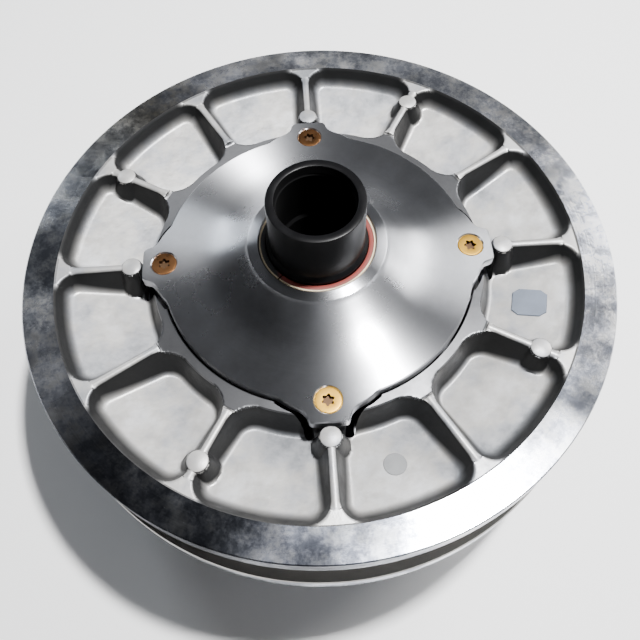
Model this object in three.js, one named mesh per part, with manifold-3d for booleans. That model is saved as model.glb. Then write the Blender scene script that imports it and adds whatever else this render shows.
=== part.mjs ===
// A driven pulley set of a belt CVT: an outer and an inner V-belt sheave riding on a hollow post.
// Frame: millimetres, +Z along the post towards its open outer end, origin at the centre of its inner end.
// Rest position: sheaves fully closed. The inner sheave, its towers, the cover and the helix slide down
// together by up to 22 mm, while both sheaves turn on the post as the helix follows the fixed rollers.
import * as THREE from "three";
import { mergeVertices } from "three/addons/utils/BufferGeometryUtils.js";
import Module from "manifold-3d";

const wasm = await Module();
wasm.setup();

// ---------- driving dimensions ----------
const GAP = 0.3; // between pieces that rest on each other
const SHEAVE_R = 132;
const FACE_SLOPE = Math.tan(THREE.MathUtils.degToRad(12.5));
const FACE_INNER_R = 84;
const RIM_EDGE = 9.5; // height of a sheave's cylindrical edge
const RIM_INNER_R = 118.7;
const PAIR_HEIGHT = 51; // over both rims, closed
const RIM_TOP_Z = 102;
const RIM_LOW_Z = RIM_TOP_Z - PAIR_HEIGHT;
const WALL = 5.3; // cast wall behind a belt face
const RIBS = 12;
const TOWERS = 4;
const TOWER_R = 69.4; // pitch radius of the towers and cover screws

const POST_R = 22.5;
const POST_TOP_Z = 143.6;
const NOSE_R = 20.9; // the post's thinner outer end
const NOSE_BORE_R = 17.3;
const NOSE_Z = 117;
const COLLAR_TOP_Z = 114;
const BUSH_BORE_R = POST_R + GAP;
const BUSH_WALL = 2.8;
const BUSH_LENGTH = 19.7;
const FLANGE_R = 70;
const FLANGE_TOP_Z = 102.4;
const FLANGE_T = 5.5;
const RECESS_R = 71;

const WEB_Z = 51.5; // underside of the inner sheave's web, where the helix is bolted
const WEB_TOP_Z = 57;
const BEARING_Z = 60.5;
const BEARING_W = 10;
const BEARING_OUTER_R = 33.9;

const HELIX_MEAN_R = 43.5;
const HELIX_ANGLE = THREE.MathUtils.degToRad(41.67);
const HELIX_LEAD = HELIX_MEAN_R * Math.tan(HELIX_ANGLE); // drop in mm for each radian turned
const ROLLERS = 3;
const ROLLER_R = 8;
const ROLLER_W = 9;
const ROLLER_Z = 16;
const SPRING_WIRE = 4;
const SPRING_MEAN_R = 31.5;
const SPRING_TURNS = 4.25;
const SPRING_LOW_Z = 8.3;
const SPRING_TOP_Z = 52.7;

// ---------- materials ----------
const finish = (color, roughness, metalness) =>
  new THREE.MeshStandardMaterial({ color, roughness, metalness });
const CAST = finish(0xb9bcbf, 0.45, 0.9);
const TURNED = finish(0xc9ccd0, 0.25, 1);
const BLACK_STEEL = finish(0x101012, 0.4, 0.6);
const STEEL = finish(0x8f9296, 0.3, 1);
const SPRING_STEEL = finish(0x2c3f6b, 0.45, 0.5);
const GOLD_ZINC = finish(0xc9a24a, 0.35, 1);
const RED_LINER = finish(0x8e2f22, 0.7, 0);
const POLYMER = finish(0x2a2b2d, 0.55, 0);

// ---------- shape helpers ----------
const TURN = Math.PI * 2;
const V2 = (x, y) => new THREE.Vector2(x, y);

function solid(geometry) {
  const flat = geometry.clone();
  flat.deleteAttribute("normal");
  flat.deleteAttribute("uv");
  const merged = mergeVertices(flat, 1e-4);
  return new wasm.Manifold(new wasm.Mesh({
    numProp: 3,
    vertProperties: merged.attributes.position.array,
    triVerts: new Uint32Array(merged.index.array),
  }));
}

function signedArea(points) {
  return points.reduce((sum, [x, y], i) => {
    const [nx, ny] = points[(i + 1) % points.length];
    return sum + x * ny - nx * y;
  }, 0) / 2;
}

// A ring turned about Z from a closed outline of [radius, z] corners.
function turned(corners, segments = 48) {
  const outline = signedArea(corners) < 0 ? [...corners].reverse() : corners;
  const points = [...outline, outline[0]].map(([r, z]) => V2(r, z));
  return solid(new THREE.LatheGeometry(points, segments).rotateX(Math.PI / 2));
}

const disc = (inner, outer, low, high, segments = 48) =>
  turned([[inner, low], [outer, low], [outer, high], [inner, high]], segments);

// A plate from a closed outline of [x, y] corners, between two heights.
function plate(corners, low, high) {
  const shape = new THREE.Shape(corners.map(([x, y]) => V2(x, y)));
  const geometry = new THREE.ExtrudeGeometry(shape, { depth: high - low, bevelEnabled: false });
  return solid(geometry.translate(0, 0, low));
}

const rod = (radius, low, high, segments = 16) =>
  solid(new THREE.CylinderGeometry(radius, radius, high - low, segments).rotateX(Math.PI / 2)
    .translate(0, 0, (low + high) / 2));

const cone = (lowR, highR, low, high, segments = 20) =>
  solid(new THREE.CylinderGeometry(highR, lowR, high - low, segments).rotateX(Math.PI / 2)
    .translate(0, 0, (low + high) / 2));

// Copies of a piece spaced evenly about Z, the first turned by startDegrees.
const around = (piece, count, startDegrees = 0) =>
  Array.from({ length: count }, (_, i) => piece.rotate([0, 0, startDegrees + (i * 360) / count]));
const polar = (r, angle) => [r * Math.cos(angle), r * Math.sin(angle)];

const part = new THREE.Group();

function add(name, manifold, material) {
  const made = manifold.getMesh();
  const geometry = new THREE.BufferGeometry();
  geometry.setAttribute("position", new THREE.BufferAttribute(made.vertProperties, made.numProp));
  geometry.setIndex(new THREE.BufferAttribute(made.triVerts, 1));
  const mesh = new THREE.Mesh(geometry, material);
  mesh.name = name;
  part.add(mesh);
}

// ---------- sheave castings ----------
const SHEAVE_SEGMENTS = 48;
const RIB_T = 3.6;
const POCKET_INNER_R = 75.5;
const BOSS_R = 4.4;
const INNER_BOSS_AT = 84.3;
const OUTER_BOSS_AT = 104.5;
const WINDOW_OUTER_R = 82;
const WINDOW_HALF = 12.6;

// One fan-shaped pocket between two ribs, its corners cut at 45 degrees.
function pocketOutline(innerR, outerR) {
  const half = Math.PI / RIBS;
  const edge = (r) => half - Math.asin(RIB_T / 2 / r);
  const corner = 7;
  const side = [
    [innerR, edge(innerR + corner) - corner / innerR],
    [innerR + corner, edge(innerR + corner)],
    [outerR - corner, edge(outerR - corner)],
    [outerR, edge(outerR) - corner / outerR],
  ];
  const arc = [-0.5, 0, 0.5].map((t) => [outerR, t * side[3][1]]);
  const innerArc = [[innerR, 0]];
  const mirror = [...side].reverse().map(([r, a]) => [r, -a]);
  return [...side, ...[...arc].reverse(), ...mirror, ...innerArc].map(([r, a]) => polar(r, a));
}

const pocketCorners = (innerR) => pocketOutline(innerR, RIM_INNER_R - 0.2);
const halfPitch = 180 / RIBS;

function outerSheave() {
  const faceHigh = RIM_TOP_Z - RIM_EDGE;
  const faceLow = faceHigh - (SHEAVE_R - FACE_INNER_R) * FACE_SLOPE;
  const ringZ = RIM_TOP_Z - 2.5;
  const body = turned([
    [SHEAVE_R, RIM_TOP_Z], [80.5, RIM_TOP_Z], [80.5, ringZ], [RECESS_R, ringZ], [RECESS_R, 71.5],
    [42, 71.5], [42, 73.5], [34.2, 73.5], [34.2, 72.2], [35.6, 72.2], [35.6, 70.7], [34.2, 70.7],
    [34.2, 60.2], [31.5, 60.2], [31.5, 59], [44, 59], [46, 62], [78, 62], [80, 64], [80, 78],
    [FACE_INNER_R, faceLow], [SHEAVE_R, faceHigh],
  ], SHEAVE_SEGMENTS);
  const floorAt = (r) => faceHigh - (SHEAVE_R - r) * FACE_SLOPE + WALL;
  const above = turned([
    [60, floorAt(60)], [SHEAVE_R, floorAt(SHEAVE_R)], [SHEAVE_R, 110], [60, 110],
  ], SHEAVE_SEGMENTS);
  const pocket = plate(pocketCorners(POCKET_INNER_R), 70, 106).intersect(above);
  const pockets = around(pocket, RIBS, halfPitch);
  const inner = 58;
  const windowCorners = [
    [inner, -WINDOW_HALF], [WINDOW_OUTER_R - 4, -WINDOW_HALF], [WINDOW_OUTER_R, 4 - WINDOW_HALF],
    [WINDOW_OUTER_R, WINDOW_HALF - 4], [WINDOW_OUTER_R - 4, WINDOW_HALF], [inner, WINDOW_HALF],
  ];
  const flank = [[75.6, WINDOW_HALF], [73.2, 15], [71, 18.6], [68.5, 22], [60, 22]];
  const flare = plate([...flank, ...[...flank].reverse().map(([x, y]) => [x, -y])], 73, 110);
  const windows = around(plate(windowCorners, 50, 110).add(flare), TOWERS);
  const innerBoss = rod(BOSS_R, 84, RIM_TOP_Z - 0.8, 12).translate([INNER_BOSS_AT, 0, 0]);
  const outerBoss = rod(BOSS_R, 88, RIM_TOP_Z - 0.8, 12).translate([OUTER_BOSS_AT, 0, 0]);
  const bosses = [...around(innerBoss, TOWERS), ...around(outerBoss, TOWERS, -2 * halfPitch)];
  const cut = wasm.Manifold.union([...pockets, ...windows]);
  return wasm.Manifold.union([body.subtract(cut), ...bosses]);
}

const TOWER_IN = 62.5;
const TOWER_OUT = 76.3;
const TOWER_HALF = 7.2;
const SCREW_HOLE_R = 3.2;

function innerSheave() {
  const faceLow = RIM_LOW_Z + RIM_EDGE;
  const faceHigh = faceLow + (SHEAVE_R - FACE_INNER_R) * FACE_SLOPE;
  const bushR = BUSH_BORE_R + BUSH_WALL + GAP;
  const hubR = bushR + 2.4;
  const body = turned([
    [SHEAVE_R, RIM_LOW_Z], [SHEAVE_R, faceLow], [FACE_INNER_R, faceHigh], [82.5, faceHigh - 1.5],
    [82.5, WEB_TOP_Z], [bushR, WEB_TOP_Z], [bushR, 44], [hubR, 44], [hubR, SPRING_TOP_Z + GAP],
    [34.6, SPRING_TOP_Z + GAP], [34.6, WEB_Z], [66, WEB_Z], [66, RIM_LOW_Z],
  ], SHEAVE_SEGMENTS);
  const roofAt = (r) => faceLow + (SHEAVE_R - r) * FACE_SLOPE - WALL;
  const below = turned([
    [60, 40], [SHEAVE_R, 40], [SHEAVE_R, roofAt(SHEAVE_R)], [60, roofAt(60)],
  ], SHEAVE_SEGMENTS);
  const pocket = plate(pocketCorners(88.5), 40, 90).intersect(below);
  const corners = [
    [TOWER_IN, -TOWER_HALF], [TOWER_OUT - 2, -TOWER_HALF], [TOWER_OUT, 2 - TOWER_HALF],
    [TOWER_OUT, TOWER_HALF - 2], [TOWER_OUT - 2, TOWER_HALF], [TOWER_IN, TOWER_HALF],
  ];
  const towerTop = FLANGE_TOP_Z - FLANGE_T - GAP;
  const hole = rod(SCREW_HOLE_R, towerTop - 14, towerTop + 1, 8).translate([TOWER_R, 0, 0]);
  const tower = plate(corners, WEB_TOP_Z - 3, towerTop).subtract(hole);
  const helixHole = rod(2.8, WEB_Z - 1, WEB_Z + 3.5, 8).translate([54, 0, 0]);
  return wasm.Manifold.union([body, ...around(tower, TOWERS)])
    .subtract(wasm.Manifold.union([...around(pocket, RIBS, halfPitch), ...around(helixHole, TOWERS, 45)]));
}

// ---------- cover ----------
const EAR_END_R = 79;
const EAR_HALF = 8.4;

// Half of an ear from its flat end to the flange, as [x, y]: a rounded corner, then a concave flank.
const EAR_FLANK = [
  [EAR_END_R, 6.8], [78, EAR_HALF], [75.6, 9], [73.6, 10.5], [71.9, 12.8], [70, 16.2], [66.8, 20.8],
];

function cover() {
  const low = FLANGE_TOP_Z - FLANGE_T;
  const boreR = BUSH_BORE_R + BUSH_WALL + GAP;
  const dome = turned([
    [FLANGE_R, FLANGE_TOP_Z], [51, FLANGE_TOP_Z], [46, 103.5], [41, 106], [35.5, 109.8], [31.8, 112.2],
    [30.7, COLLAR_TOP_Z], [boreR, COLLAR_TOP_Z], [boreR, 94.3], [30.5, 94.3],
    [30.5, 103.5], [36, 103.2], [46, low], [FLANGE_R, low],
  ], 48);
  const near = EAR_FLANK.map(([x, y]) => [x, -y]).reverse();
  const ear = plate([[60, -20.8], ...near, ...EAR_FLANK, [60, 20.8]], low, FLANGE_TOP_Z);
  const sink = cone(SCREW_HOLE_R, 6.2, FLANGE_TOP_Z - 3.1, FLANGE_TOP_Z + 0.05, 16);
  const hole = rod(SCREW_HOLE_R, low - 1, FLANGE_TOP_Z + 1, 8).add(sink).translate([TOWER_R, 0, 0]);
  return wasm.Manifold.union([dome, ...around(ear, TOWERS)])
    .subtract(wasm.Manifold.union(around(hole, TOWERS)));
}

function coverScrew(index) {
  const top = FLANGE_TOP_Z - 0.25;
  const head = cone(2.9, 5.7, top - 2.8, top, 16);
  const shank = rod(2.9, FLANGE_TOP_Z - FLANGE_T - 12, top - 2.6, 8);
  const lobes = Array.from({ length: 12 }, (_, i) => polar(i % 2 ? 1.75 : 2.5, (i * TURN) / 12));
  const socket = plate(lobes, top - 2, top + 1);
  return head.add(shank).subtract(socket).translate([TOWER_R, 0, 0]).rotate([0, 0, index * 90]);
}

// ---------- post ----------
const SPLINES = 12;
const SPIDER_SPLINES = 6;
const SPIDER_SPLINE_TOP = 9;
const RING_GROOVE_R = 21;
const ringGroove = (low, high) => disc(RING_GROOVE_R, POST_R + 2, low, high, 36);

function post() {
  const body = turned([
    [13.5, 0], [POST_R, 0], [POST_R, NOSE_Z - 2], [NOSE_R, NOSE_Z], [NOSE_R, POST_TOP_Z - 0.6],
    [NOSE_R - 0.6, POST_TOP_Z], [NOSE_BORE_R + 0.4, POST_TOP_Z], [NOSE_BORE_R, POST_TOP_Z - 0.6],
    [NOSE_BORE_R, POST_TOP_Z - 5], [16.7, POST_TOP_Z - 5.6], [16.7, 112], [15.6, 110.5],
    [15.6, 76], [8.5, 76], [8.5, 66], [13.5, 62],
  ], 36);
  const spline = plate([[12, -1.6], [15, -1.2], [15, 1.2], [12, 1.6]], -1, 61);
  const outerSpline = plate([[21.3, -1.3], [24, -1.6], [24, 1.6], [21.3, 1.3]], -1, SPIDER_SPLINE_TOP);
  const grooves = [ringGroove(2.7, 4.5), ringGroove(58, 59.6), ringGroove(70.6, 72)];
  return body.subtract(wasm.Manifold.union([
    ...around(spline, SPLINES), ...around(outerSpline, SPIDER_SPLINES), ...grooves,
  ]));
}

// A split ring in a groove of the post, or in the outer sheave's hub.
function splitRing(inner, outer, low, high, gapDegrees) {
  const half = THREE.MathUtils.degToRad(gapDegrees / 2);
  const reach = outer * 2;
  const wedge = plate([[0, 0], polar(reach, -half), polar(reach, half)], low - 1, high + 1);
  return disc(inner, outer, low, high, 24).subtract(wedge);
}

// ---------- bearing ----------
const BALLS = 8;
const BALL_R = 2.8;
const BALL_PITCH_R = 28.6;

function race(inner, outer, groovedSide) {
  const mid = BEARING_Z + BEARING_W / 2;
  const grooveR = BALL_R + 0.25;
  const wall = groovedSide === "outside" ? outer : inner;
  const reach = Math.sqrt(grooveR ** 2 - (wall - BALL_PITCH_R) ** 2);
  const depth = groovedSide === "outside" ? BALL_PITCH_R - grooveR : BALL_PITCH_R + grooveR;
  const groove = [[wall, mid - reach], [depth, mid - 1.3], [depth, mid + 1.3], [wall, mid + reach]];
  const high = BEARING_Z + BEARING_W;
  const outline = groovedSide === "outside"
    ? [[inner, BEARING_Z], [outer, BEARING_Z], ...groove, [outer, high], [inner, high]]
    : [[outer, BEARING_Z], [inner, BEARING_Z], ...groove, [inner, high], [outer, high]];
  return turned(outline, 30);
}

function ballsAndCage() {
  const mid = BEARING_Z + BEARING_W / 2;
  const ball = solid(new THREE.IcosahedronGeometry(BALL_R, 1)).translate([BALL_PITCH_R, 0, mid]);
  const band = disc(BALL_PITCH_R - 0.7, BALL_PITCH_R + 0.7, mid - 3.7, mid + 3.7, 30);
  return wasm.Manifold.union([band, ...around(ball, BALLS)]);
}

// ---------- helix, rollers and spring ----------
const HELIX_IN = 38.4;
const HELIX_OUT = 48.6;
const HELIX_FLANGE_Z = WEB_Z - GAP - 3.2;
const RAMP_TOP_Z = HELIX_FLANGE_Z - GAP;
const RAMP_CLEARANCE = 11.8; // ramp height above a roller's centre, straight over it
const TIP_ANGLE = THREE.MathUtils.degToRad(7.5);

// One downward tooth: a helical underside that a roller pushes on, and an upright back.
function helixRamp(index) {
  const high = RAMP_TOP_Z;
  const rampEnd = (ROLLER_Z + RAMP_CLEARANCE - high) / HELIX_LEAD;
  const backAngle = TIP_ANGLE + 0.2;
  const steps = 12;
  const angles = Array.from({ length: steps + 1 }, (_, i) => rampEnd + ((TIP_ANGLE - rampEnd) * i) / steps);
  const lowAt = (a) => Math.min(high - 0.5, ROLLER_Z + RAMP_CLEARANCE - HELIX_LEAD * Math.min(a, TIP_ANGLE));
  const stations = [...angles, backAngle];
  const positions = [];
  const ringCorners = stations.map((a) => [
    [...polar(HELIX_IN, a), lowAt(a)], [...polar(HELIX_OUT, a), lowAt(a)],
    [...polar(HELIX_OUT, a), high], [...polar(HELIX_IN, a), high],
  ]);
  const triangle = (a, b, c) => positions.push(...a, ...c, ...b);
  const quad = (a, b, c, d) => { triangle(a, b, c); triangle(a, c, d); };
  for (let i = 0; i < ringCorners.length - 1; i++) {
    const here = ringCorners[i];
    const next = ringCorners[i + 1];
    for (let k = 0; k < 4; k++) quad(here[k], here[(k + 1) % 4], next[(k + 1) % 4], next[k]);
  }
  const first = ringCorners[0];
  const last = ringCorners[ringCorners.length - 1];
  quad(first[3], first[2], first[1], first[0]);
  quad(last[0], last[1], last[2], last[3]);
  const geometry = new THREE.BufferGeometry();
  geometry.setAttribute("position", new THREE.Float32BufferAttribute(positions, 3));
  return solid(geometry).rotate([0, 0, (index * 360) / ROLLERS]);
}

function helixFlange() {
  const top = WEB_Z - GAP;
  const hole = rod(2.8, HELIX_FLANGE_Z - 1, top + 1, 8).translate([54, 0, 0]);
  return disc(36, 59, HELIX_FLANGE_Z, top, 36).subtract(wasm.Manifold.union(around(hole, TOWERS, 45)));
}

function helixScrew(index) {
  const headTop = HELIX_FLANGE_Z - GAP;
  const socket = rod(1.6, headTop - 4, headTop - 1.5, 6);
  return rod(4.2, headTop - 3, headTop, 12).add(rod(2.4, headTop - 0.5, WEB_Z + 3, 8)).subtract(socket)
    .translate([54, 0, 0]).rotate([0, 0, 45 + index * 90]);
}

const LUG_IN = 50;
const LUG_OUT = 56;

function rollerSpider() {
  const low = 1.5;
  const boreR = POST_R + GAP;
  const hub = turned([[27.2, low], [35, low], [35, 8], [boreR, 8], [boreR, 4.8], [27.2, 4.8]], 36);
  const spline = plate([[21.7, -0.9], [24, -1.1], [24, 1.1], [21.7, 0.9]], 4.8, 8);
  const arm = plate([[30, -5], [LUG_OUT, -5], [LUG_OUT, 5], [30, 5]], low, 7);
  const lug = plate([[LUG_IN, -6.5], [LUG_OUT, -6.5], [LUG_OUT, 6.5], [LUG_IN, 6.5]], low, 20);
  const crown = rod(6.5, LUG_IN, LUG_OUT, 16).rotate([0, 90, 0]).translate([0, 0, ROLLER_Z]);
  const pinHole = rod(3.3, LUG_IN - 1, LUG_OUT + 1, 10).rotate([0, 90, 0]).translate([0, 0, ROLLER_Z]);
  const legs = wasm.Manifold.union([arm, lug, crown]).subtract(pinHole);
  return wasm.Manifold.union([hub, ...around(spline, SPIDER_SPLINES), ...around(legs, ROLLERS)]);
}

const alongX = (piece) => piece.rotate([0, 90, 0]).translate([0, 0, ROLLER_Z]);
const rollerTurn = (index) => [0, 0, (index * 360) / ROLLERS];

const ROLLER_IN = 39;
const roller = (index) => alongX(turned([
  [3.4, ROLLER_IN], [ROLLER_R - 0.5, ROLLER_IN], [ROLLER_R, ROLLER_IN + 0.5],
  [ROLLER_R, ROLLER_IN + ROLLER_W - 0.5], [ROLLER_R - 0.5, ROLLER_IN + ROLLER_W], [3.4, ROLLER_IN + ROLLER_W],
], 20)).rotate(rollerTurn(index));
const rollerPin = (index) => alongX(rod(3, ROLLER_IN - 0.3, LUG_OUT - 0.2, 10)
  .add(rod(4.2, ROLLER_IN - 1.4, ROLLER_IN - GAP, 12))).rotate(rollerTurn(index));
const rollerWasher = (index) => alongX(disc(3.3, 6, 48.3, 49.7, 12)).rotate(rollerTurn(index));

// A compression spring with closed, flattened end turns.
class SpringCurve extends THREE.Curve {
  getPoint(t, target = new THREE.Vector3()) {
    const half = SPRING_WIRE / 2;
    const closed = 1 / SPRING_TURNS;
    const climb = THREE.MathUtils.clamp((t - closed) / (1 - 2 * closed), 0, 1);
    const endRise = SPRING_WIRE * 1.02;
    const end = Math.min(t, closed) / closed;
    const start = Math.max(0, t - (1 - closed)) / closed;
    const length = SPRING_TOP_Z - SPRING_LOW_Z - 2 * half - 2 * endRise;
    const z = SPRING_LOW_Z + half + endRise * (end + start) + length * climb;
    const angle = t * SPRING_TURNS * TURN;
    return target.set(SPRING_MEAN_R * Math.cos(angle), SPRING_MEAN_R * Math.sin(angle), z);
  }
}

function spring() {
  const corners = Array.from({ length: 6 }, (_, i) => V2(...polar(SPRING_WIRE / 2, (i * TURN) / 6)));
  const path = { steps: 56, extrudePath: new SpringCurve(), bevelEnabled: false };
  return solid(new THREE.ExtrudeGeometry(new THREE.Shape(corners), path));
}

// ---------- assembly ----------
const coverBushZ = COLLAR_TOP_Z - BUSH_LENGTH;
const bush = (low, high) => disc(BUSH_BORE_R, BUSH_BORE_R + BUSH_WALL, low, high, 36);

add("post", post(), BLACK_STEEL);
add("outer_sheave", outerSheave(), CAST);
add("inner_sheave", innerSheave(), CAST);
add("cover", cover(), TURNED);
add("cover_bushing", bush(coverBushZ, COLLAR_TOP_Z - 0.5), RED_LINER);
add("inner_sheave_bushing", bush(44, WEB_TOP_Z), RED_LINER);
for (let i = 0; i < TOWERS; i++) add(`cover_screw_${i + 1}`, coverScrew(i), GOLD_ZINC);
add("bearing_inner_race", race(POST_R + GAP, 26.9, "outside"), STEEL);
add("bearing_outer_race", race(30.4, BEARING_OUTER_R, "inside"), STEEL);
add("bearing_balls", ballsAndCage(), STEEL);
add("bearing_upper_snap_ring", splitRing(RING_GROOVE_R + GAP, 25.4, 70.8, 71.8, 30), STEEL);
add("bearing_lower_snap_ring", splitRing(RING_GROOVE_R + GAP, 25.4, 58.3, 59.3, 30), STEEL);
add("bearing_shim", disc(POST_R + GAP, 26, 59.6, 60.2, 30), STEEL);
add("hub_circlip", splitRing(31.2, 35.3, 70.95, 71.95, 26), STEEL);
add("helix_flange", helixFlange(), TURNED);
for (let i = 0; i < ROLLERS; i++) add(`helix_ramp_${i + 1}`, helixRamp(i), TURNED);
for (let i = 0; i < TOWERS; i++) add(`helix_screw_${i + 1}`, helixScrew(i), STEEL);
add("roller_spider", rollerSpider(), STEEL);
add("spider_snap_ring", splitRing(RING_GROOVE_R + GAP, 26.4, 3, 4.2, 30), STEEL);
for (let i = 0; i < ROLLERS; i++) {
  add(`roller_${i + 1}`, roller(i), POLYMER);
  add(`roller_pin_${i + 1}`, rollerPin(i), STEEL);
  add(`roller_washer_${i + 1}`, rollerWasher(i), STEEL);
}
add("spring", spring(), SPRING_STEEL);

export default part;
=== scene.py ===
import math

import bmesh
import bpy
import numpy as np
from mathutils import Matrix, Vector


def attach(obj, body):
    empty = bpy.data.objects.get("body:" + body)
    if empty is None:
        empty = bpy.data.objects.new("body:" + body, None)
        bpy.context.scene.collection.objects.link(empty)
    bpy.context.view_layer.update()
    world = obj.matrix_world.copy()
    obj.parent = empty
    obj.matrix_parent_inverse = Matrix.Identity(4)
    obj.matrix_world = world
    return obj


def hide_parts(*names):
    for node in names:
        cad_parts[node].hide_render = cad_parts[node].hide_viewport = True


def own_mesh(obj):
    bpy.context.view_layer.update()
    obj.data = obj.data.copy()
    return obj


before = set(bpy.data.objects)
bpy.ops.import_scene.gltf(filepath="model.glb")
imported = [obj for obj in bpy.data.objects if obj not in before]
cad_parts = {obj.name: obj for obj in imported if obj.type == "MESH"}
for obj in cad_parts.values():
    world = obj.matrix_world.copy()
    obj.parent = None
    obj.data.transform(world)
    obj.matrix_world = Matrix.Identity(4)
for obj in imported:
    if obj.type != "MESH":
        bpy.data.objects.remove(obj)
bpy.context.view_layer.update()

MM = 0.001
POST = "post_assembly"
OUTER = "outer_sheave_assembly"
INNER = "inner_sheave_assembly"

# Lengths in millimetres, in the row frame: +Z along the post, z = 0 at its inner end.
# RIB_PITCH is in radians.
SHEAVE_R = 132.0
RIM_TOP = 102.0
RIM_LOW = 51.0
RIM_EDGE = 9.5
RIM_INNER = 118.6
SLOPE = math.tan(math.radians(12.5))
BELT_INNER = 84.0
WALL = 5.3
RIBS = 12
RIB_PITCH = 2 * math.pi / RIBS
RIB_HALF = 1.4
RIB_TOP = 101.3
RING_TOP = 99.6
RING_R = 80.5
POCKET_INNER = 74.6
LOW_POCKET_INNER = 88.5
POCKET_OUTER = RIM_INNER - 0.6
POCKET_WALL = 5.6
BOSSES = [(84.3, k * 90) for k in range(4)] + [(104.5, 60 + k * 90) for k in range(4)]
BOSS_TOP = 101.4
PLATE_R = 97.0
PLATE_HALF = 7.0
FLANGE_TOP = 102.4
FLANGE_R = 70.0
FLANGE_T = 5.5
SCREW_R = 69.4
HEAD_R = 5.65
HELIX_SCREW_R = 54.0
BUSH_GAP_DEGREES = 1.6
POST_R = 22.5
GROOVE_R = 21.0
POST_TOP = 143.6
NOSE_R = 20.9
NOSE_BORE = 17.3


# ---------- shader helpers ----------
def new_material(name):
    material = bpy.data.materials.new(name)
    material.use_nodes = True
    nodes = material.node_tree.nodes
    return material, nodes, material.node_tree.links, nodes["Principled BSDF"]


def feed(links, socket, value):
    """Links value to the socket if it is a socket too, and stores it there if it isn't."""
    if isinstance(value, bpy.types.NodeSocket):
        links.new(value, socket)
    else:
        socket.default_value = value


def object_place(nodes):
    """Object coordinates, in metres."""
    return nodes.new("ShaderNodeTexCoord").outputs["Object"]


def part_of(nodes, links, vector, axis):
    parts = nodes.new("ShaderNodeSeparateXYZ")
    links.new(vector, parts.inputs[0])
    return parts.outputs[axis]


def maths(nodes, links, operation, *values):
    node = nodes.new("ShaderNodeMath")
    node.operation = operation
    for number, value in enumerate(values):
        feed(links, node.inputs[number], value)
    return node.outputs[0]


def mixed(nodes, links, factor, first, second, blend="MIX"):
    node = nodes.new("ShaderNodeMix")
    node.data_type = "RGBA"
    node.blend_type = blend
    feed(links, node.inputs["Factor"], factor)
    feed(links, node.inputs["A"], first)
    feed(links, node.inputs["B"], second)
    return node.outputs["Result"]


def noise(nodes, links, vector, scale, detail=4.0, roughness=0.55):
    node = nodes.new("ShaderNodeTexNoise")
    node.inputs["Scale"].default_value = scale
    node.inputs["Detail"].default_value = detail
    node.inputs["Roughness"].default_value = roughness
    links.new(vector, node.inputs["Vector"])
    return node.outputs["Fac"]


def ramp(nodes, links, value, stops):
    node = nodes.new("ShaderNodeValToRGB")
    elements = node.color_ramp.elements
    while len(elements) < len(stops):
        elements.new(0.5)
    for element, (position, colour) in zip(elements, stops):
        element.position = position
        element.color = (*colour, 1) if isinstance(colour, tuple) else (colour, colour, colour, 1)
    links.new(value, node.inputs["Fac"])
    return node.outputs["Color"]


def bump(nodes, links, height, strength, distance, shader, after=None):
    node = nodes.new("ShaderNodeBump")
    node.inputs["Strength"].default_value = strength
    node.inputs["Distance"].default_value = distance
    links.new(height, node.inputs["Height"])
    if after is not None:
        links.new(after, node.inputs["Normal"])
    links.new(node.outputs["Normal"], shader.inputs["Normal"])
    return node.outputs["Normal"]


def radius_of(nodes, links, place):
    """Distance from the post's axis, in metres."""
    flat = nodes.new("ShaderNodeVectorMath")
    flat.operation = "MULTIPLY"
    flat.inputs[1].default_value = (1, 1, 0)
    length = nodes.new("ShaderNodeVectorMath")
    length.operation = "LENGTH"
    links.new(place, flat.inputs[0])
    links.new(flat.outputs["Vector"], length.inputs[0])
    return length.outputs["Value"]


def levelness(nodes, links):
    """1 on level faces, 0 on upright ones."""
    normal = nodes.new("ShaderNodeNewGeometry").outputs["Normal"]
    return maths(nodes, links, "ABSOLUTE", part_of(nodes, links, normal, "Z"))


def azimuth_of(nodes, links, wobble):
    """Angle about the post's axis as 0 to 1, from -X round through -Y, shaken by a fine noise."""
    place = object_place(nodes)
    around = nodes.new("ShaderNodeTexGradient")
    around.gradient_type = "RADIAL"
    links.new(place, around.inputs["Vector"])
    shake = noise(nodes, links, place, 55, 8, 0.7)
    shaken = maths(nodes, links, "MULTIPLY_ADD", shake, wobble, around.outputs["Fac"])
    return maths(nodes, links, "SUBTRACT", shaken, wobble / 2)


# ---------- materials ----------
def cast_metal(name, rough, upright):
    """As-cast skin: blotchy and satin on level faces, and plain on steep ones, as light as upright says. The
    plain dark tone of the steep faces is painted shade, with some of the walls' own duller skin.
    """
    material, nodes, links, shader = new_material(name)
    place = object_place(nodes)
    blotch = noise(nodes, links, place, 34, 6, 0.65)
    skin = ramp(nodes, links, blotch, [(0.32, (0.20, 0.21, 0.225)), (0.44, (0.33, 0.335, 0.35)),
                                       (0.54, (0.41, 0.40, 0.385)), (0.70, (0.52, 0.525, 0.535))])
    level = ramp(nodes, links, levelness(nodes, links), [(0.5, 0.0), (0.93, 1.0)])
    # Painted shade on the walls: every steep face is coloured this dark tone.
    dark = (upright, upright * 1.01, upright * 1.04, 1)
    links.new(mixed(nodes, links, level, dark, skin), shader.inputs["Base Color"])
    patches = noise(nodes, links, place, 120, 3)
    roughness = ramp(nodes, links, patches, [(0.3, rough - 0.08), (0.7, rough + 0.1)])
    links.new(roughness, shader.inputs["Roughness"])
    shader.inputs["Metallic"].default_value = 0.4
    shader.inputs["Specular IOR Level"].default_value = 0.25
    grain = bump(nodes, links, noise(nodes, links, place, 1500, 3), 0.25, 0.00012, shader)
    bump(nodes, links, noise(nodes, links, place, 160, 2), 0.3, 0.0005, shader, grain)
    return material


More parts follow.
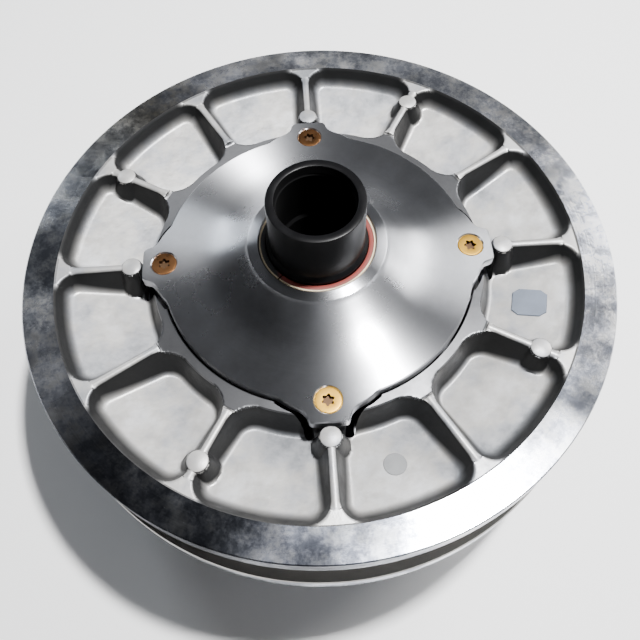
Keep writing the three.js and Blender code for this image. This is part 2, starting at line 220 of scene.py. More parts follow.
def turned_metal(name, colour, rough, anisotropy, smear=0.12, stain=0.0):
    """Metal turned in a lathe: fine rings about the axis, with handling marks."""
    material, nodes, links, shader = new_material(name)
    place = object_place(nodes)
    section = nodes.new("ShaderNodeCombineXYZ")
    links.new(radius_of(nodes, links, place), section.inputs["X"])
    links.new(part_of(nodes, links, place, "Z"), section.inputs["Y"])
    rings = noise(nodes, links, section.outputs["Vector"], 2600, 2, 0.7)
    wide_rings = noise(nodes, links, section.outputs["Vector"], 420, 2, 0.6)
    marks = noise(nodes, links, place, 30, 6, 0.62)
    dark = tuple(c * (1 - stain) for c in colour)
    links.new(ramp(nodes, links, marks, [(0.35, dark), (0.6, colour)]), shader.inputs["Base Color"])
    links.new(ramp(nodes, links, marks, [(0.35, rough + smear), (0.62, rough)]), shader.inputs["Roughness"])
    shader.inputs["Metallic"].default_value = 1.0
    shader.inputs["Anisotropic"].default_value = anisotropy
    shader.inputs["Anisotropic Rotation"].default_value = 0.25
    tangent = nodes.new("ShaderNodeTangent")
    tangent.direction_type = "RADIAL"
    tangent.axis = "Z"
    links.new(tangent.outputs["Tangent"], shader.inputs["Tangent"])
    fine = bump(nodes, links, rings, 0.3, 0.00005, shader)
    bump(nodes, links, wide_rings, 0.3, 0.0001, shader, fine)
    return material


def rim_painted_reflections(material):
    """Painted reflections: light and dark areas set round a rim, as in the photograph, where the turned metal
    mirrors bright and dark surroundings; mottled by noise.
    """
    nodes, links = material.node_tree.nodes, material.node_tree.links
    # Painted reflections and painted shade: light and dark tones set by the angle round the rim.
    painted_reflections = [(0.0, (0.50, 0.505, 0.51)), (0.042, (0.74, 0.74, 0.74)), (0.083, (0.34, 0.345, 0.36)),
              (0.125, (0.13, 0.132, 0.14)), (0.194, (0.19, 0.195, 0.205)), (0.236, (0.33, 0.34, 0.37)),
              (0.278, (0.55, 0.575, 0.62)), (0.311, (0.96, 0.96, 0.96)), (0.361, (0.80, 0.81, 0.84)),
              (0.394, (0.48, 0.49, 0.51)), (0.444, (0.56, 0.56, 0.57)), (0.5, (0.76, 0.76, 0.77)),
              (0.611, (0.86, 0.86, 0.86)), (0.708, (0.52, 0.525, 0.53)), (0.764, (0.72, 0.72, 0.72)),
              (0.819, (0.42, 0.425, 0.44)), (0.875, (0.24, 0.225, 0.19)), (0.931, (0.46, 0.46, 0.45)),
              (1.0, (0.50, 0.505, 0.51))]
    mottle = noise(nodes, links, object_place(nodes), 110, 10, 0.8)
    areas = ramp(nodes, links, azimuth_of(nodes, links, 0.14), painted_reflections)
    spots = ramp(nodes, links, mottle, [(0.42, (0.42, 0.44, 0.50)), (0.5, (0.74, 0.76, 0.82)),
                                        (0.56, (1.0, 1.0, 1.0))])
    colour = mixed(nodes, links, 1.0, areas, spots, "MULTIPLY")
    links.new(colour, nodes["Principled BSDF"].inputs["Base Color"])
    return material


def plain(name, colour, rough, metallic, grain=0.0, scale=900):
    material, nodes, links, shader = new_material(name)
    place = object_place(nodes)
    patches = noise(nodes, links, place, 90, 4)
    darker = tuple(c * 0.86 for c in colour)
    roughness = ramp(nodes, links, patches, [(0.3, rough - 0.05), (0.7, rough + 0.07)])
    links.new(ramp(nodes, links, patches, [(0.35, darker), (0.65, colour)]), shader.inputs["Base Color"])
    links.new(roughness, shader.inputs["Roughness"])
    shader.inputs["Metallic"].default_value = metallic
    if grain:
        bump(nodes, links, noise(nodes, links, place, scale, 3), grain, 0.0001, shader)
    return material


def dulled(material, level):
    """Lowers how much a black material mirrors."""
    material.node_tree.nodes["Principled BSDF"].inputs["Specular IOR Level"].default_value = level
    return material


def painted_shade_on_one_side(material):
    """Colours the material black beyond x = -18.5 mm, fading out by -15.5 mm: painted shade on that side, to
    look like the photograph.
    """
    nodes, links = material.node_tree.nodes, material.node_tree.links
    colour = nodes["Principled BSDF"].inputs["Base Color"]
    across = part_of(nodes, links, object_place(nodes), "X")
    place = maths(nodes, links, "MULTIPLY_ADD", across, 20, 0.5)
    shade_fade = ramp(nodes, links, place, [(0.13, 0.0), (0.19, 1.0)])
    links.new(mixed(nodes, links, shade_fade, (0.01, 0.008, 0.008, 1), colour.links[0].from_socket), colour)
    return material


# Both cast materials colour steep walls dark as painted shade: CAST nearly black, CAST_SIDE mid-grey.
CAST = cast_metal("cast_aluminium", 0.4, 0.018)
CAST_SIDE = cast_metal("cast_aluminium_side", 0.42, 0.3)
# The rim's colour carries painted reflections round it.
RIM = rim_painted_reflections(turned_metal("turned_rim", (0.76, 0.775, 0.80), 0.17, 0.5, 0.16))
BELT_FACE = turned_metal("turned_belt_face", (0.36, 0.35, 0.335), 0.28, 0.6, 0.1, 0.15)
COVER = turned_metal("turned_cover", (0.62, 0.63, 0.66), 0.27, 1.0, 0.04, 0.25)
# Painted shade: the recess round the cover and the faces nearer the axis are coloured dark turned metal for
# the shade there.
SHADED_RECESS = turned_metal("turned_recess_painted_shade", (0.17, 0.172, 0.18), 0.36, 0.5, 0.1, 0.5)
PAD = plain("pad", (0.15, 0.175, 0.22), 0.45, 0.4, 0.3)
STAMP = plain("stamp", (0.25, 0.255, 0.26), 0.45, 0.4, 0.3)
BLACK = dulled(plain("black_post", (0.004, 0.004, 0.0045), 0.33, 0.0, 0.12, 700), 0.1)
BORE = dulled(plain("black_bore", (0.002, 0.002, 0.0022), 0.7, 0.0, 0.2, 500), 0.12)
GOLD = plain("yellow_zinc", (0.36, 0.205, 0.028), 0.4, 1.0, 0.15, 1200)
# Painted reflection: the yellow zinc made darker and browner, for screws that mirror darker surroundings.
ZINC_PAINTED_REFLECTION = plain("yellow_zinc_painted_reflection", (0.27, 0.13, 0.055), 0.3, 1.0, 0.15, 1200)
# Painted shade: the inside of a screw's socket is coloured dark brown.
SOCKET_SHADE = plain("socket_shade", (0.09, 0.05, 0.025), 0.5, 0.8)
# The red liner carries painted shade on its -X side.
LINER = painted_shade_on_one_side(plain("red_liner", (0.17, 0.018, 0.010), 0.62, 0.0, 0.35, 1600))
BACKING = plain("tan_backing", (0.66, 0.54, 0.36), 0.5, 0.0, 0.2, 1500)
STEEL = plain("ground_steel", (0.52, 0.53, 0.55), 0.27, 1.0, 0.1, 1100)
DARK_STEEL = plain("plain_steel", (0.22, 0.225, 0.23), 0.42, 0.9, 0.2, 800)
SPRING_COAT = plain("spring_coating", (0.03, 0.06, 0.17), 0.4, 0.1, 0.15, 700)
POLYMER = plain("roller_polymer", (0.03, 0.03, 0.033), 0.5, 0.0, 0.2)

# The order of a sheave's four materials. INSIDE is for the faces nearer the axis than its belt face.
SKIN, TURNED, BELT, INSIDE = range(4)


# ---------- mesh helpers ----------
def mesh_object(name, points, faces, materials):
    mesh = bpy.data.meshes.new(name)
    mesh.from_pydata((np.asarray(points, float) * MM).tolist(), [], faces)
    mesh.update()
    made = bmesh.new()
    made.from_mesh(mesh)
    bmesh.ops.recalc_face_normals(made, faces=made.faces)
    made.to_mesh(mesh)
    made.free()
    for material in materials:
        mesh.materials.append(material)
    piece = bpy.data.objects.new(name, mesh)
    bpy.context.scene.collection.objects.link(piece)
    return piece


def weld(piece, distance=0.01):
    """Joins points that lie within a distance in mm, such as those on the axis of a lathed piece."""
    made = bmesh.new()
    made.from_mesh(piece.data)
    bmesh.ops.remove_doubles(made, verts=made.verts, dist=distance * MM)
    bmesh.ops.dissolve_degenerate(made, edges=made.edges, dist=distance * MM)
    bmesh.ops.recalc_face_normals(made, faces=made.faces)
    made.to_mesh(piece.data)
    made.free()


def shade(piece, degrees):
    """Smooths a piece, apart from edges sharper than the angle."""
    for polygon in piece.data.polygons:
        polygon.use_smooth = True
    piece.data.set_sharp_from_angle(angle=math.radians(degrees))
    return piece


def combine(piece, others, operation="DIFFERENCE"):
    """Cuts or joins other closed meshes into piece, and removes them."""
    for other in others:
        modifier = piece.modifiers.new("combine", "BOOLEAN")
        modifier.operation = operation
        modifier.object = other
        modifier.solver = "MANIFOLD"
    bpy.context.view_layer.update()
    evaluated = piece.evaluated_get(bpy.context.evaluated_depsgraph_get())
    mesh = bpy.data.meshes.new_from_object(evaluated)
    piece.modifiers.clear()
    piece.data = mesh
    for other in others:
        bpy.data.objects.remove(other)


def paint(piece, materials, choose):
    """Gives each face the index that choose returns for its radius, height and upward slope."""
    mesh = piece.data
    mesh.materials.clear()
    for material in materials:
        mesh.materials.append(material)
    count = len(mesh.polygons)
    centres, normals = np.empty(count * 3), np.empty(count * 3)
    mesh.polygons.foreach_get("center", centres)
    mesh.polygons.foreach_get("normal", normals)
    x, y, z = centres.reshape(-1, 3).T / MM
    index = choose(np.hypot(x, y), z, normals.reshape(-1, 3)[:, 2])
    mesh.polygons.foreach_set("material_index", index.astype(np.int32))
    mesh.update()


def grid_faces(rows, columns):
    """Quads of a grid closed both ways: rows along a profile, columns around the axis."""
    return [(i * columns + j, i * columns + (j + 1) % columns,
             (i + 1) % rows * columns + (j + 1) % columns, (i + 1) % rows * columns + j)
            for i in range(rows) for j in range(columns)]


def tube_faces(rows, columns):
    """Quads between rows of points, each row a closed loop, with a cap on the first and the last row."""
    caps = [tuple(range(columns))[::-1], tuple(range((rows - 1) * columns, rows * columns))]
    return caps + grid_faces(rows, columns)[:(rows - 1) * columns]


def lathe(name, profile, materials, segments):
    angles = np.arange(segments) * 2 * math.pi / segments
    points = [(r * math.cos(a), r * math.sin(a), z) for r, z in profile for a in angles]
    return mesh_object(name, points, grid_faces(len(profile), segments), materials)


def rounded(profile, radius, steps):
    """A closed (r, z) profile with each corner rounded."""
    made = []
    count = len(profile)
    for i in range(count):
        before, here, after = (Vector(profile[(i + k) % count]) for k in (-1, 0, 1))
        to_before, to_after = before - here, after - here
        reach = min(radius, to_before.length * 0.45, to_after.length * 0.45)
        start = here + to_before.normalized() * reach
        end = here + to_after.normalized() * reach
        for k in range(steps + 1):
            t = k / steps
            made.append(tuple(start * (1 - t) ** 2 + here * 2 * t * (1 - t) + end * t * t))
    return made


def prism(name, outline, low, high):
    """A closed upright prism from (x, y) corners."""
    points = [(x, y, z) for z in (low, high) for x, y in outline]
    return mesh_object(name, points, tube_faces(2, len(outline)), [])


def circle(radius, segments, x, y):
    return [(x + radius * math.cos(a), y + radius * math.sin(a))
            for a in np.arange(segments) * 2 * math.pi / segments]


def mirrored(flank):
    """A closed outline from its +Y half."""
    return flank + [(x, -y) for x, y in flank[::-1]]


def turned(piece, degrees):
    """Turns a piece about the post's axis."""
    piece.data.transform(Matrix.Rotation(math.radians(degrees), 4, "Z"))
    return piece


def set_out(piece, radius, degrees):
    """Moves a piece out from the post's axis, and turns it there."""
    piece.data.transform(Matrix.Translation((radius * MM, 0, 0)))
    return turned(piece, degrees)


def hole_cutter(name, hole_r, low, high, radius, degrees):
    a = math.radians(degrees)
    return prism(name, circle(hole_r, 40, radius * math.cos(a), radius * math.sin(a)), low, high)


def ring_row(r, angles, z):
    """Points around the axis, with one radius and height or with one for each angle."""
    return np.stack([r * np.cos(angles), r * np.sin(angles), np.broadcast_to(z, angles.shape)], 1)


def smoothstep(value):
    value = np.clip(value, 0, 1)
    return value * value * (3 - 2 * value)


# ---------- sheave castings ----------
def from_nearest_rib(angle):
    return np.abs((angle + RIB_PITCH / 2) % RIB_PITCH - RIB_PITCH / 2)


def pocket_depth(r, angle, inner, outer, inner_corner, outer_corner):
    """How deep inside the nearest pocket outline a point is: 0 on the outline, in mm."""
    side = r * np.sin(from_nearest_rib(angle)) - RIB_HALF

    def corner(end, radius):
        a, b = radius - side, radius - end
        return np.where((a > 0) & (b > 0), radius - np.hypot(a, b), np.minimum(side, end))

    return np.minimum(corner(r - inner, inner_corner), corner(outer - r, outer_corner))


def wall_shape(depth):
    """0 on a pocket's outline to 1 on its floor: a rounded edge, a steep drafted wall, then a fillet."""
    depth = np.maximum(depth, 0)
    t = np.clip(depth * depth / (depth + 0.45) / POCKET_WALL, 0, 1)
    return 1 - (1 - t) ** 1.9


def column_angles(r):
    """Angles around a casting at one radius, gathered at the ribs and their walls."""
    steps = [0.0, 0.8, 1.3, 1.6, 1.9, 2.25, 2.65, 3.1, 3.6, 4.1, 4.65, 5.2, 5.8, 6.4, 7.0, 7.65, 8.3, 9.0,
             9.75, 10.5, 11.3, 12.2, 13.2]
    half = [math.asin(s / r) for s in steps]
    half += list(np.linspace(half[-1], RIB_PITCH / 2, 6)[1:-1])
    sector = half + [RIB_PITCH / 2] + [RIB_PITCH - a for a in half[:0:-1]]
    return np.array([k * RIB_PITCH + a for k in range(RIBS) for a in sector])


def casting(name, radii, height, static):
    """A ring whose one side is a height field over radii, closed by a fixed profile."""
    least_r = 60.0  # nearer the axis, the columns keep the angles that they have here
    rows = []
    for r in radii:
        angles = column_angles(r)
        rows.append(ring_row(r, angles, height(r, angles)))
    for r, z in static:
        rows.append(ring_row(r, column_angles(max(least_r, r)), z))
    return mesh_object(name, np.concatenate(rows), grid_faces(len(rows), len(rows[0])), [CAST])


def radial_steps(*spans):
    """Radii over spans of (from, to, spacing). Only the last span's own end is included."""
    made = []
    for low, high, step in spans:
        count = max(1, round((high - low) / step))
        made += list(np.linspace(low, high, count + 1)[:-1])
    return made + [spans[-1][1]]


def pocket_floor(r):
    """Height of the outer sheave's pocket floors, one wall above its belt face."""
    return RIM_TOP - RIM_EDGE - (SHEAVE_R - r) * SLOPE + WALL


def outer_height(r, angle):
    floor = pocket_floor(r)
    top = RING_TOP + (RIB_TOP - RING_TOP) * float(smoothstep((r - RING_R + 0.5) / 1.4))
    top = RIM_TOP if r >= RIM_INNER - 0.35 else top
    if r < POCKET_INNER - 0.6 or r > RIM_INNER:
        return np.full(len(angle), top)
    depth = pocket_depth(r, angle, POCKET_INNER, POCKET_OUTER, 11, 9.5)
    from_middle = r * np.sin(from_nearest_rib(angle))
    crown = np.where((r > RING_R) & (r < 112), 0.55 * np.clip(from_middle / RIB_HALF, 0, 1) ** 2, 0)
    z = top - crown - (top - crown - floor) * wall_shape(depth)
    x, y = r * np.cos(angle), r * np.sin(angle)
    for boss_r, azimuth in BOSSES:
        a = math.radians(azimuth)
        away = np.hypot(x - boss_r * math.cos(a), y - boss_r * math.sin(a))
        z = np.maximum(z, floor + (RIB_TOP - 0.6 - floor) * np.clip((8.6 - away) / 3.9, 0, 1) ** 1.5)
    return z


def inner_height(r, angle):
    rim = RIM_LOW + 0.4
    roof = RIM_LOW + RIM_EDGE + (SHEAVE_R - r) * SLOPE - WALL
    if r < LOW_POCKET_INNER - 1.5 or r > RIM_INNER:
        return np.full(len(angle), RIM_LOW)
    return rim + (roof - rim) * wall_shape(pocket_depth(r, angle, LOW_POCKET_INNER, POCKET_OUTER, 8, 9))


def window_cutters():
    """Through windows round the towers, and above them the wider recesses that take the cover's ears."""
    tip = [(79, 10.5), (80.3, 9.6), (80.9, 8.2)]
    window = mirrored([(58, 10.8), (77, 10.8)] + tip)
    recess = mirrored([(58, 10.8), (58, 22), (68.5, 22), (71, 18.6), (73, 15), (74.2, 13.1), (75.4, 11.8),
                       (77, 10.9)] + tip)
    made = []
    for k in range(4):
        made.append(turned(prism(f"cut_a{k}", window, 50, 110), 90 * k))
        made.append(turned(prism(f"cut_b{k}", recess, 73.2, 110), 90 * k))
    return made


def boss(number, boss_r, azimuth):
    """A round boss, which starts inside the casting's wall."""
    base = 84 if boss_r < 90 else 88.5
    profile = [(0.001, base), (4.7, base), (4.5, BOSS_TOP - 0.5), (4.35, BOSS_TOP - 0.2), (4.0, BOSS_TOP),
               (0.001, BOSS_TOP)]
    piece = lathe(f"boss{number}", profile, [], 48)
    weld(piece)
    return set_out(piece, boss_r, azimuth)


def outer_sheave():
    face_high = RIM_TOP - RIM_EDGE
    face_low = face_high - (SHEAVE_R - BELT_INNER) * SLOPE
    radii = radial_steps((71.3, 74.2, 1.45), (74.2, 82.4, 0.41), (82.4, 90.5, 0.5), (90.5, 98, 1.1),
                         (98, RIM_INNER - 0.4, 0.55), (RIM_INNER - 0.3, 131.5, 13.2))
    belt_side = [(SHEAVE_R, RIM_TOP - 0.5), (SHEAVE_R, face_high + 0.6), (131.6, face_high),
                 (110, face_high - 22 * SLOPE), (BELT_INNER, face_low), (81.5, face_low - 1.4)]
    hub_outside = [(80.3, 78.5), (80, 77), (80, 64.6), (79.6, 63.6), (78.6, 62.6), (77.4, 62), (47, 62),
                   (45.6, 61.2), (44.2, 59.3), (43.6, 59)]
    bearing_seat = [(31.8, 59), (31.5, 59.3), (31.5, 60.2), (34.2, 60.2), (34.2, 70.7), (35.6, 70.7),
                    (35.6, 72.2), (34.2, 72.2), (34.2, 73.2), (34.5, 73.5)]
    recess = [(41.6, 73.5), (42, 73.1), (42.4, 71.8), (43, 71.5), (69.5, 71.5), (70.6, 71.9), (71, 73),
              (71, RING_TOP - 0.3)]
    profile = belt_side + hub_outside + bearing_seat + recess
    piece = casting("outer_sheave_detail", radii, outer_height, profile)
    combine(piece, window_cutters())
    combine(piece, [boss(number, *place) for number, place in enumerate(BOSSES)], "UNION")

    def choose(r, z, up):
        index = np.full(len(r), TURNED)
        index[(r < RIM_INNER) & (r > 74.2) & (z > 82) & (up > -0.1)] = SKIN
        index[(r < RING_R) & (z > RING_TOP - 0.8)] = INSIDE
        index[(r < BELT_INNER) & (index == TURNED)] = INSIDE
        index[(up < -0.5) & (r > BELT_INNER)] = BELT
        return index

    # The INSIDE faces take the dark recess metal, which is painted shade.
    paint(piece, [CAST, RIM, BELT_FACE, SHADED_RECESS], choose)
    shade(piece, 38)
    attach(piece, OUTER)
    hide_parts("outer_sheave")


def floor_plate(name, azimuth, outline, height, material):
    """A thin plain pad on the floor of a pocket, from (radial, sideways) corners about its middle."""
    a = math.radians(azimuth)
    points = []
    for grow, lift in ((0.3, -0.6), (0.3, 0.0), (0.0, height)):
        for x, y in outline:
            x, y = PLATE_R + x * (1 + grow / PLATE_HALF), y * (1 + grow / PLATE_HALF)
            z = pocket_floor(math.hypot(x, y)) + lift
            points.append((x * math.cos(a) - y * math.sin(a), x * math.sin(a) + y * math.cos(a), z))
    piece = shade(mesh_object(name, points, tube_faces(3, len(outline)), [material]), 30)
    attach(piece, OUTER)


def floor_plates():
    pad = [(7.2, 4.4), (4.4, 6.6), (-4.4, 6.6), (-7.2, 4.4), (-7.2, -4.4), (-4.4, -6.6), (4.4, -6.6),
           (7.2, -4.4)]
    floor_plate("outer_sheave_pad", -15, pad, 0.45, PAD)
    floor_plate("outer_sheave_stamp", 285, circle(4.6, 32, 0, 0), 0.25, STAMP)


def inner_sheave():
    face_low = RIM_LOW + RIM_EDGE
    face_high = face_low + (SHEAVE_R - BELT_INNER) * SLOPE
    radii = radial_steps((66.5, 87.5, 10), (87.6, 96, 0.6), (96, 106, 1.5), (106, RIM_INNER - 0.1, 0.6),
                         (RIM_INNER + 0.1, 131.5, 13.2))
    belt_side = [(SHEAVE_R, RIM_LOW + 0.5), (SHEAVE_R, face_low - 0.6), (131.6, face_low),
                 (110, face_low + 22 * SLOPE), (BELT_INNER + 0.6, face_high - 0.15),
                 (BELT_INNER, face_high - 0.4), (82.8, face_high - 1.3), (82.5, face_high - 2)]
    web = [(82.5, 58.2), (82.1, 57.3), (81.2, 57), (26.5, 57), (25.9, 56.5), (25.9, 44.5), (26.3, 44),
           (27.9, 44), (28.3, 44.4), (28.3, 53), (34.6, 53), (34.6, 51.9), (35, 51.5), (65.6, 51.5),
           (66, 51.1)]
    piece = casting("inner_sheave_detail", radii, inner_height, belt_side + web)
    tower = mirrored([(62.5, 6.4), (63.3, 7.2), (73.6, 7.2), (75.3, 6.5), (76.1, 5), (76.3, 3)])
    combine(piece, [turned(prism(f"tower{k}", tower, 54, 96.6), 90 * k) for k in range(4)], "UNION")
    holes = []
    for k in range(4):
        holes.append(hole_cutter(f"tap{k}", 3.2, 82, 98, SCREW_R, 90 * k))
        holes.append(hole_cutter(f"helix_tap{k}", 2.8, 50, 55, HELIX_SCREW_R, 90 * k + 45))
    combine(piece, holes)

    def choose(r, z, up):
        index = np.full(len(r), TURNED)
        index[(r > 87) & (r < RIM_INNER) & (up < 0.1) & (z < 68)] = SKIN
        index[(r < 82.4) & (z > 56)] = INSIDE
        index[(up > 0.5) & (r > BELT_INNER)] = BELT
        return index

    paint(piece, [CAST, RIM, BELT_FACE, CAST_SIDE], choose)
    shade(piece, 38)
    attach(piece, INNER)
    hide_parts("inner_sheave")


# ---------- cover ----------
def cover_edge(angles):
    """Radius of the cover's outline: a circle with four ears."""
    flank = [(79, 0), (79, 6.5), (78.75, 7.5), (78.1, 8.2), (76.9, 8.55), (75.6, 8.9), (74.4, 9.6),
             (73.3, 10.7), (72.3, 12.2), (71.4, 14), (70.4, 15.9), (69, 17.9), (67.6, 19.7), (66.3, 21.9)]
    ear_angles = [math.atan2(y, x) for x, y in flank]
    ear_radii = [math.hypot(x, y) for x, y in flank]
    quarter = math.pi / 2
    away = np.abs((angles + quarter / 2) % quarter - quarter / 2)
    return np.maximum(np.interp(away, ear_angles, ear_radii, right=FLANGE_R), FLANGE_R)


def cover_sink(k):
    """The countersink of one cover screw."""
    profile = [(0.001, 90), (3.2, 90), (3.2, 99.4), (6.15, 102.2), (6.15, 104), (0.001, 104)]
    sink = lathe(f"sink{k}", profile, [], 48)
    weld(sink)
    return set_out(sink, SCREW_R, 90 * k)


def cover():
    ear = 0.34  # radians each side of an ear's middle, where the outline is stepped finely
    quarter = list(np.linspace(-ear, ear, 97)) + list(np.linspace(ear, math.pi / 2 - ear, 34))[1:-1]
    angles = np.concatenate([np.array(quarter) + k * math.pi / 2 for k in range(4)])
    edge = cover_edge(angles)
    low = FLANGE_TOP - FLANGE_T
    cone = [(63, FLANGE_TOP), (58, FLANGE_TOP), (55, 102.45), (52.5, 102.6), (50.2, 102.88), (48, 103.3),
            (45.9, 103.9), (43.8, 104.7), (41.8, 105.6), (39.8, 106.7), (37.9, 107.85), (36, 109.1),
            (34.3, 110.35), (32.6, 111.7), (31.8, 112.35), (31.3, 112.95)]
    collar = [(31, 113.5), (30.75, 113.85), (30.3, 114), (26.3, 114), (25.9, 113.6), (25.9, 94.6),
              (26.2, 94.3)]
    underside = [(30.2, 94.3), (30.5, 94.6), (30.5, 102.6), (31.4, 103.5), (36, 103.2), (43, 98.2), (46, low)]
    rows = [ring_row(edge - inset, angles, FLANGE_TOP) for inset in (0.5, 0.8)]
    rows += [ring_row(r, angles, z) for r, z in cone + collar + underside]
    rows += [ring_row(edge - inset, angles, z)
             for inset, z in ((0.5, low), (0, low + 0.5), (0, FLANGE_TOP - 0.5))]
    piece = mesh_object("cover_detail", np.concatenate(rows), grid_faces(len(rows), len(angles)), [COVER])
    combine(piece, [cover_sink(k) for k in range(4)])
    paint(piece, [COVER], lambda r, z, up: np.zeros(len(r)))
    shade(piece, 30)
    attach(piece, INNER)
    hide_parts("cover")


def socket_cutter(low, high):
    """A six-lobe socket."""
    outline = []
    for i in range(72):
        a = 2 * math.pi * i / 72
        r = 2.35 + 0.42 * math.cos(6 * a)
        outline.append((r * math.cos(a), r * math.sin(a)))
    return prism("socket", outline, low, high)


def cover_screw(k):
    top = FLANGE_TOP - 0.25
    head = [(0.001, top - 0.15), (2.6, top - 0.12), (4.9, top - 0.03), (5.4, top - 0.1), (HEAD_R, top - 0.4),
            (HEAD_R, top - 0.75)]
    shank = [(3.1, top - 3), (2.9, top - 3.2), (2.9, 85.4), (2.4, 84.9), (0.001, 84.9)]
    # Screws 1 and 2 take the darker zinc as painted reflection.
    plating = ZINC_PAINTED_REFLECTION if k in (1, 2) else GOLD
    piece = lathe(f"cover_screw_{k + 1}_detail", head + shank, [plating], 64)
    weld(piece)
    combine(piece, [socket_cutter(top - 2.2, top + 1)])
    paint(piece, [plating, SOCKET_SHADE], lambda r, z, up: (r < 2.85) & (z < top - 0.3) & (z > top - 2.4))
    turned(piece, 17 * k)
    set_out(piece, SCREW_R, 90 * k)
    shade(piece, 35)
    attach(piece, INNER)
    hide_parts(f"cover_screw_{k + 1}")


# ---------- post and bushes ----------
def post():
    foot = [(13.5, 0.6), (14, 0), (22, 0), (POST_R, 0.5), (POST_R, 2.7), (GROOVE_R, 2.7), (GROOVE_R, 4.5),
            (POST_R, 4.5)]
    bearing_grooves = [(POST_R, 58), (GROOVE_R, 58), (GROOVE_R, 59.6), (POST_R, 59.6), (POST_R, 70.6),
                       (GROOVE_R, 70.6), (GROOVE_R, 72), (POST_R, 72)]
    nose = [(POST_R, 114.8), (22.2, 115.3), (21.1, 116.5), (NOSE_R, 117.3), (NOSE_R, POST_TOP - 0.5),
            (20.75, POST_TOP - 0.15), (20.4, POST_TOP), (17.7, POST_TOP), (17.4, POST_TOP - 0.15)]
    bore = [(NOSE_BORE, 143.2), (NOSE_BORE, 138.9), (17.1, 138.5), (16.7, 138.1), (16.7, 112), (15.6, 110.5),
            (15.6, 76), (8.9, 76), (8.5, 75.6), (8.5, 66.5), (9, 66), (13.5, 62)]
    piece = lathe("post_detail", foot + bearing_grooves + nose + bore, [BLACK], 144)
    spline = [(12, -1.6), (15, -1.2), (15, 1.2), (12, 1.6)]
    key = [(21.3, -1.3), (24, -1.6), (24, 1.6), (21.3, 1.3)]
    cutters = [turned(prism(f"spline{k}", spline, -1, 61), 30 * k) for k in range(12)]
    cutters += [turned(prism(f"key{k}", key, -1, 9), 60 * k) for k in range(6)]
    combine(piece, cutters)
    paint(piece, [BLACK, BORE], lambda r, z, up: (r < 17.5) & (z < POST_TOP - 0.5))
    shade(piece, 30)
    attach(piece, POST)
    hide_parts("post")


def split_tube(name, inner, outer, low, high, gap_at, material):
    """A bush rolled from strip, with a narrow split."""
    segments = 128
    start = math.radians(gap_at + BUSH_GAP_DEGREES / 2)
    end = math.radians(gap_at - BUSH_GAP_DEGREES / 2) + 2 * math.pi
    angles = np.linspace(start, end, segments)
    profile = rounded([(inner, low), (outer, low), (outer, high), (inner, high)], 0.25, 2)
    points = [(r * math.cos(a), r * math.sin(a), z) for a in angles for r, z in profile]
    return shade(mesh_object(name, points, tube_faces(segments, len(profile)), [material]), 40)


def bush(node, low, liner_high, backing_high, gap_at):
    liner = split_tube(f"{node}_liner", 22.8, 24.85, low, liner_high, gap_at, LINER)
    backing = split_tube(f"{node}_backing", 24.9, 25.6, low, backing_high, gap_at, BACKING)
    for piece in (liner, backing):
        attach(piece, INNER)
    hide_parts(node)


# ---------- spring ----------
def spring_centres(wire, mean_r, turns, low, high, steps):
    """The wire's middle line: a coil whose first and last turns are closed up."""
    closed = 1 / turns
    rise = wire * 1.02
    made = []
    for i in range(steps + 1):
        t = i / steps
        climb = min(1, max(0, (t - closed) / (1 - 2 * closed)))
        ends = min(t, closed) / closed + max(0, t - (1 - closed)) / closed
        z = low + wire / 2 + rise * ends + (high - low - wire - 2 * rise) * climb
        a = t * turns * 2 * math.pi
        made.append(Vector((mean_r * math.cos(a), mean_r * math.sin(a), z)))
    return made


def spring():
    wire, mean_r, turns, low, high = 4.0, 31.5, 4.25, 8.3, 52.7
    steps, sides = 460, 18
    centres = spring_centres(wire, mean_r, turns, low, high, steps)
    points = []
    for i, centre in enumerate(centres):
        along = (centres[min(i + 1, steps)] - centres[max(i - 1, 0)]).normalized()
        out = Vector((centre.x, centre.y, 0)).normalized()
        out = (out - along * out.dot(along)).normalized()
        up = along.cross(out)
        for k in range(sides):
            b = 2 * math.pi * k / sides
            point = centre + (out * math.cos(b) + up * math.sin(b)) * (wire / 2)
            points.append((point.x, point.y, min(high, max(low, point.z))))
    piece = shade(mesh_object("spring_detail", points, tube_faces(steps + 1, sides), [SPRING_COAT]), 40)
    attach(piece, POST)
    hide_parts("spring")
    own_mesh(piece)


# ---------- pieces shown as they are in the frame ----------
def frame_material(node):
    if node.startswith("roller_") and node.removeprefix("roller_").isdigit():
        return POLYMER
    if node == "roller_spider" or node.startswith("helix_screw"):
        return DARK_STEEL
    return BELT_FACE if node.startswith("helix") else STEEL


def recolour_frame_pieces():
    for node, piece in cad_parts.items():
        if not piece.hide_render:
            piece.data.materials.clear()
            piece.data.materials.append(frame_material(node))


# ---------- floor, light and camera ----------
def pale_floor():
    half, under = 4, -0.0005
    corners = [(-half, -half, under), (half, -half, under), (half, half, under), (-half, half, under)]
    mesh = bpy.data.meshes.new("floor")
    mesh.from_pydata(corners, [], [(0, 1, 2, 3)])
    floor = bpy.data.objects.new("floor", mesh)
    bpy.context.scene.collection.objects.link(floor)
    material, _, _, shader = new_material("pale_floor")
    shader.inputs["Base Color"].default_value = (0.97, 0.97, 0.97, 1)
    shader.inputs["Roughness"].default_value = 0.8
    mesh.materials.append(material)


def area_light(name, place, size, power, colour=(1, 1, 1)):
    """A rectangular light, aimed at the outer sheave."""
    aim = Vector((0, 0, 0.09))
    data = bpy.data.lights.new(name, "AREA")
    data.shape = "RECTANGLE"
    data.size, data.size_y = size
    data.energy = power
    data.color = colour
    light = bpy.data.objects.new(name, data)
    light.location = place
    light.rotation_euler = (aim - Vector(place)).to_track_quat("-Z", "Y").to_euler()
    bpy.context.scene.collection.objects.link(light)


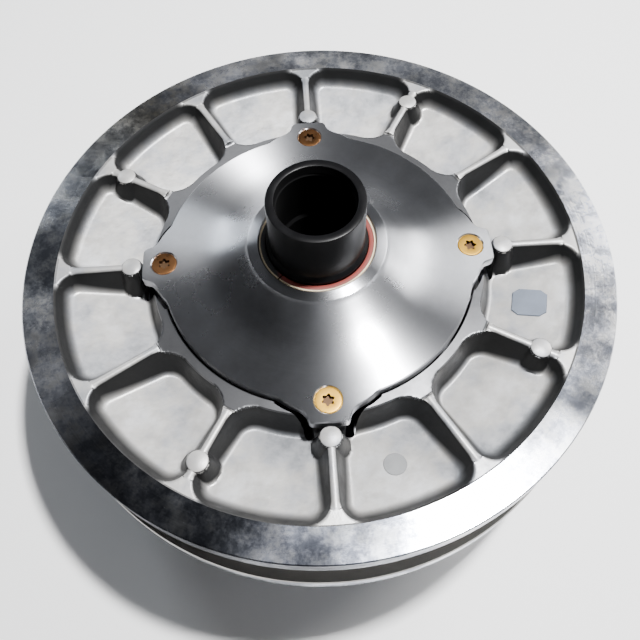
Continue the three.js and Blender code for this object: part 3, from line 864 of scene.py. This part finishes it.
def studio_world():
    """Soft surroundings, brighter towards +X, for the metal to mirror."""
    world = bpy.data.worlds.new("studio")
    bpy.context.scene.world = world
    world.use_nodes = True
    nodes, links = world.node_tree.nodes, world.node_tree.links
    direction = nodes.new("ShaderNodeTexCoord").outputs["Generated"]
    patch = noise(nodes, links, direction, 2.6, 2, 0.5)
    total = maths(nodes, links, "MULTIPLY_ADD", part_of(nodes, links, direction, "X"), 0.3, patch)
    tones = [(0.36, (0.035, 0.036, 0.04)), (0.5, (0.22, 0.225, 0.24)), (0.62, (0.62, 0.63, 0.65)),
             (0.76, (1.0, 1.0, 1.0))]
    links.new(ramp(nodes, links, total, tones), nodes["Background"].inputs["Color"])
    nodes["Background"].inputs["Strength"].default_value = 0.42


def photo_camera():
    """The photograph's view: from the front and above, slightly turned and rolled."""
    rim_centre = Vector((0, 0, RIM_TOP))
    turn = Matrix.Rotation(math.radians(-1.8), 3, "Z")
    roll = 0.0349
    eye = (rim_centre + turn @ Vector((0, -175.5, 279.6))) * MM
    target = (rim_centre + turn @ Vector((0, -3.9, 0))) * MM
    ahead = (target - eye).normalized()
    level = ahead.cross(Vector((0, 0, 1))).normalized()
    upward = level.cross(ahead)
    side = level * math.cos(roll) - upward * math.sin(roll)
    top = upward * math.cos(roll) + level * math.sin(roll)
    data = bpy.data.cameras.new("camera")
    data.lens = 41.03
    data.shift_x = 0.0032
    data.shift_y = -0.0913
    data.sensor_width = 36
    data.clip_start = 0.01
    camera = bpy.data.objects.new("camera", data)
    camera.matrix_world = Matrix((
        (side.x, top.x, -ahead.x, eye.x),
        (side.y, top.y, -ahead.y, eye.y),
        (side.z, top.z, -ahead.z, eye.z),
        (0, 0, 0, 1)))
    bpy.context.scene.collection.objects.link(camera)
    bpy.context.scene.camera = camera


outer_sheave()
floor_plates()
inner_sheave()
cover()
for number in range(4):
    cover_screw(number)
post()
bush("cover_bushing", 94.5, 113.3, 113.5, 226)
bush("inner_sheave_bushing", 44.2, 56.8, 56.8, 120)
spring()
recolour_frame_pieces()

pale_floor()
area_light("overhead", (0.30, 0.08, 1.3), (0.09, 0.07), 44)
area_light("right_softbox", (1.05, 0.55, 1.0), (0.8, 0.6), 20)
area_light("left_window", (-0.9, 1.1, 0.95), (0.4, 0.25), 5, (0.85, 0.92, 1.0))
studio_world()
photo_camera()
